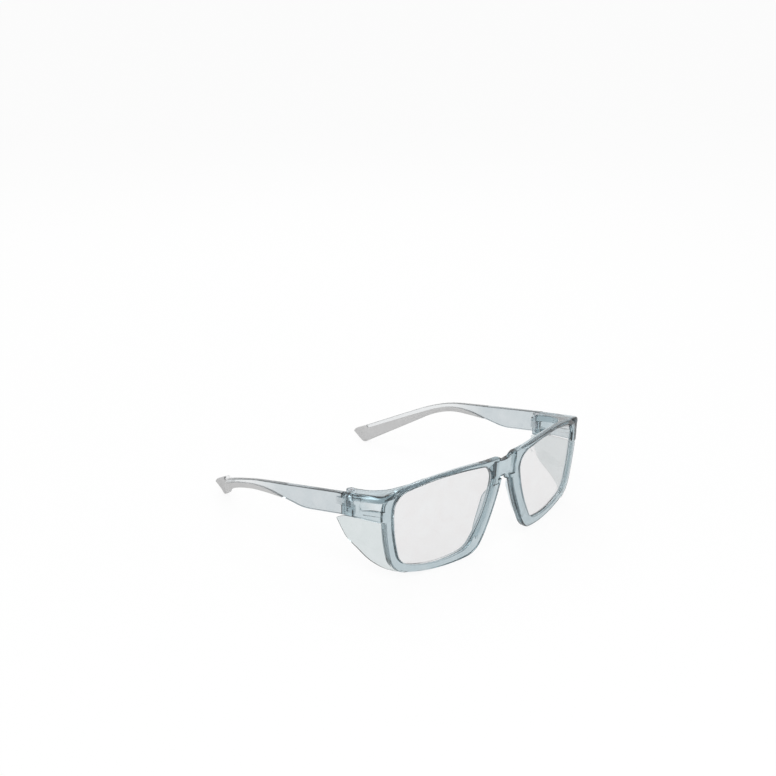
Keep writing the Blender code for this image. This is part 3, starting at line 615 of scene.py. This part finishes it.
free_edge = np.array(rounded_outline([(6.2, 42.9, 0), (18.2, 37.9, 12), (27.0, 22.0, 40),
                                      (33.4, 12.7, 0)], 16))
free_start, shield_foot, rim_top = free_edge[0, 0], free_edge[-1, 0], shield_top(-65)
rings = []
for v in [0, 0.004, 0.01, 0.018, 0.03, *np.linspace(0.05, 1, 40)]:
    rounding = 0.8 * (1 - math.sqrt(1 - max(0, 1 - v / 0.03) ** 2))
    y_free = np.interp(free_start + v * (shield_foot - free_start), *free_edge.T) - rounding - half_depth
    start = rim_top + v * (shield_foot - rim_top)
    y_rim = face_y(np.interp(start, along, run[:, 0]), np.interp(start, along, run[:, 1]), 0.66)
    depths = np.linspace(y_rim, max(y_free, y_rim + 0.2), 26)
    ring = []
    for y, inward in [(y, 0) for y in depths] + [(y, sheet) for y in depths[::-1]]:
        upper = shield_top(y)
        ring.append(shield_spot(upper + v * (shield_foot - upper), y, inward))
    rings.append(ring)
shield = tube_solid("shield_plate_left", rings)
soft_edges(shield, 0.2)
shield_plastic = clear_plastic("sheet_polycarbonate", "#E8EDED", "#9DB2B4", 440.0, 0.01, 0.008)
for piece, side in ((shield, "left"), (twin(shield, "shield_plate_right"), "right")):
    smooth_finish(piece)
    fit(piece, shield_plastic, "front", "side_shield_" + side)


# Temples: clear polycarbonate arms, moulded in one with the hinge's middle knuckle. They bend down and in
# behind the ear. Towards the tip only a strip along the top stays clear, ending in a wedge above the grip.
# The outlines give y back from the front's foremost edge against height, and the plan gives x against y.
arm_top = np.array(rounded_outline([(36.9, 40.353, 0), (108.0, 28.195, 120), (154.1, 6.8, 1.8),
                                    (155.3, 4.9, 0)], 24))
arm_under = np.array(rounded_outline([(36.9, 29.453, 0), (62.0, 25.161, 30), (76.0, 26.567, 4),
                                      (106.88, 24.405, 60), (147.6, -0.2, 2), (155.3, 4.9, 0)], 24))
arm_plan = np.array(rounded_outline([(73.5, 36.6, 0), (76.2, 118.0, 50), (52.7, 146.6, 14),
                                     (52.7, 200.0, 0)], 24))
grip_line = np.array(rounded_outline([(76.0, 26.5, 0), (90.0, 28.57, 60), (108.0, 25.495, 70),
                                      (146.8, 8.2, 0.6), (148.0, 28.58, 0)], 24))
arm_thick, top_soft, low_soft = 3.2, 0.8, 0.7


def strip(y):
    """How much clear plastic is left above the grip, or less than nothing where the grip takes it all."""
    return float(np.interp(y, *arm_top.T) - np.interp(y, *grip_line.T))


def arm_ring(y, over, under, soft_top, soft_low, inset=0.0, slim=0.0):
    """A section square across the arm, from so much under its top edge down.

    It ends so much under that edge, or with under None at the arm's lower edge. Inset draws in all its
    sides, and slim its faces alone.
    """
    x, ahead, behind = (float(np.interp(y + step, arm_plan[:, 1], arm_plan[:, 0]))
                        for step in (0, 0.5, -0.5))
    way = Vector((ahead - behind, 1.0)).normalized()
    inward = Vector((-way.y, way.x))
    inner, outer = arm_thick - inset - slim, inset + slim
    section = [(outer + soft_top - soft_top * c, 1, soft_top - soft_top * s) for s, c in quarter()]
    section += [(inner - soft_top + soft_top * s, 1, soft_top - soft_top * c) for s, c in quarter()]
    section += [(inner - soft_low + soft_low * c, 0, soft_low - soft_low * s) for s, c in quarter()]
    section += [(outer + soft_low - soft_low * s, 0, soft_low - soft_low * c) for s, c in quarter()]
    ring = []
    for across, upper, sunk in section:
        spot = Vector((x, y)) + inward * across
        top = float(np.interp(spot.y, *arm_top.T))
        foot = top - under if under else max(0, float(np.interp(spot.y, *arm_under.T)))
        z = top - over - inset - sunk if upper else foot + inset + sunk
        ring.append((spot.x, spot.y - half_depth, z))
    return ring


rings = [arm_ring(36.9, 0, None, 0.6, 0.6, 0.25)]
for y in [37.15, *np.arange(38, 143, 0.7), *np.arange(143, 148, 0.1)]:
    if y < 76:
        rings.append(arm_ring(y, 0, None, top_soft, low_soft if y < 74 else low_soft - 0.25 * (y - 74)))
    elif strip(y) > 0.06:
        slim = 0.4 * part_way(y - 80, 20)
        left = strip(y)
        rings.append(arm_ring(y, 0, left, min(top_soft, 0.45 * left), min(0.2, 0.4 * left), 0, slim))
arm = tube_solid("temple_arm_left", rings)
combine(arm, 'UNION', plate_solid("middle_knuckle", knuckle_outline(1), 33.304, 36.704))
combine(arm, 'DIFFERENCE', plate_solid("bore", bore_outline(shank_bore), bore_foot, above_front))
# The temples are painted lighter towards the rear, up to white: painted light on the clear strip
temple_plastic = clear_plastic("temple_polycarbonate", "#D6DFE3", "#B6BFC3", 150.0, 0.02, 0.03,
                               (-0.002, 0.022))
for piece, side in ((arm, "left"), (twin(arm, "temple_arm_right"), "right")):
    smooth_finish(piece)
    fit(piece, temple_plastic, "temple_" + side, "temple_" + side)

# Grips: soft grey elastomer, moulded over the lower part of each arm and over the whole of its tip.
# The elastomer is bonded a little way into the arm, and its skin is matt with a fine grain.
bond, end_inset, gate_y, gate_radius = 0.05, 0.3, 149.3, 0.8
rings = []
for y in [*np.arange(76.6, 143, 0.7), *np.arange(143, 148.6, 0.1),
          *np.arange(148.6, 154.7, 0.5), 154.8, 154.95]:
    over = max(0, strip(y) - bond)
    height = float(np.interp(y, *arm_top.T)) - over - max(0, float(np.interp(y, *arm_under.T)))
    inset = end_inset if y > 154.9 else 0.0
    soft = 0.15 if over > 0 else top_soft
    rings.append(arm_ring(y, over, None, min(soft, 0.35 * height), min(low_soft, 0.35 * height),
                          min(inset, 0.2 * height)))
grip = tube_solid("grip_sleeve_left", rings)
# A round gate mark is sunk in the inner face near the tip
gate_ring = arm_ring(gate_y, 0, None, top_soft, low_soft)
upper, lower = Vector(gate_ring[9]), Vector(gate_ring[10])
gate = (upper + lower) / 2 - Vector((0.5, 0, 0))
bpy.ops.mesh.primitive_uv_sphere_add(segments=16, ring_count=8, radius=0.001 * gate_radius,
                                     location=0.001 * gate)
bpy.ops.object.transform_apply()
combine(grip, 'DIFFERENCE', bpy.context.object)
rubber, tree, out = new_material("grey_elastomer")
place = add_node(tree, "ShaderNodeTexCoord")
# Grain: the mould's fine spark erosion, drawn at 0.6 mm so that it shows
grain = add_node(tree, "ShaderNodeTexNoise", None,
                 {"Vector": place.outputs["Object"], "Scale": 1 / 0.0006, "Detail": 2.0})
cloud = add_node(tree, "ShaderNodeTexNoise", None,
                 {"Vector": place.outputs["Object"], "Scale": 1 / 0.006, "Detail": 3.0})
tone = add_node(tree, "ShaderNodeMix", {"data_type": 'RGBA'},
                {0: cloud.outputs[0], 6: linear("#BBBBBB"), 7: linear("#C8C8C8")})
rough = add_node(tree, "ShaderNodeMapRange", None,
                 {"Value": grain.outputs[0], "From Min": 0.3, "From Max": 0.7,
                  "To Min": 0.5, "To Max": 0.68})
skin = add_node(tree, "ShaderNodeBump", None,
                {"Height": grain.outputs[0], "Strength": 0.35, "Distance": 0.00008})
shader = add_node(tree, "ShaderNodeBsdfPrincipled", None,
                  {"Base Color": tone.outputs[2], "Roughness": rough.outputs[0],
                   "Normal": skin.outputs[0]})
tree.links.new(shader.outputs[0], out.inputs["Surface"])
for piece, side in ((grip, "left"), (twin(grip, "grip_sleeve_right"), "right")):
    smooth_finish(piece)
    fit(piece, rubber, "temple_" + side, "temple_grip_" + side)

# Hinge screws: slotted steel screws, turned and nickel-bright, let into the upper knuckle from above.
# The tools leave fine marks, so the steel is bright with an uneven shine.
steel, tree, out = new_material("turned_steel")
place = add_node(tree, "ShaderNodeTexCoord")
marks = add_node(tree, "ShaderNodeTexNoise", None,
                 {"Vector": place.outputs["Object"], "Scale": 1 / 0.0003, "Detail": 3.0})
tone = add_node(tree, "ShaderNodeMix", {"data_type": 'RGBA'},
                {0: marks.outputs[0], 6: linear("#B9BABF"), 7: linear("#D2D3D6")})
rough = add_node(tree, "ShaderNodeMapRange", None,
                 {"Value": marks.outputs[0], "To Min": 0.18, "To Max": 0.38})
shader = add_node(tree, "ShaderNodeBsdfPrincipled", None,
                  {"Base Color": tone.outputs[2], "Roughness": rough.outputs[0], "Metallic": 1.0})
tree.links.new(shader.outputs[0], out.inputs["Surface"])
for side in ("left", "right"):
    nodes["hinge_screw_" + side].data.materials[0] = steel
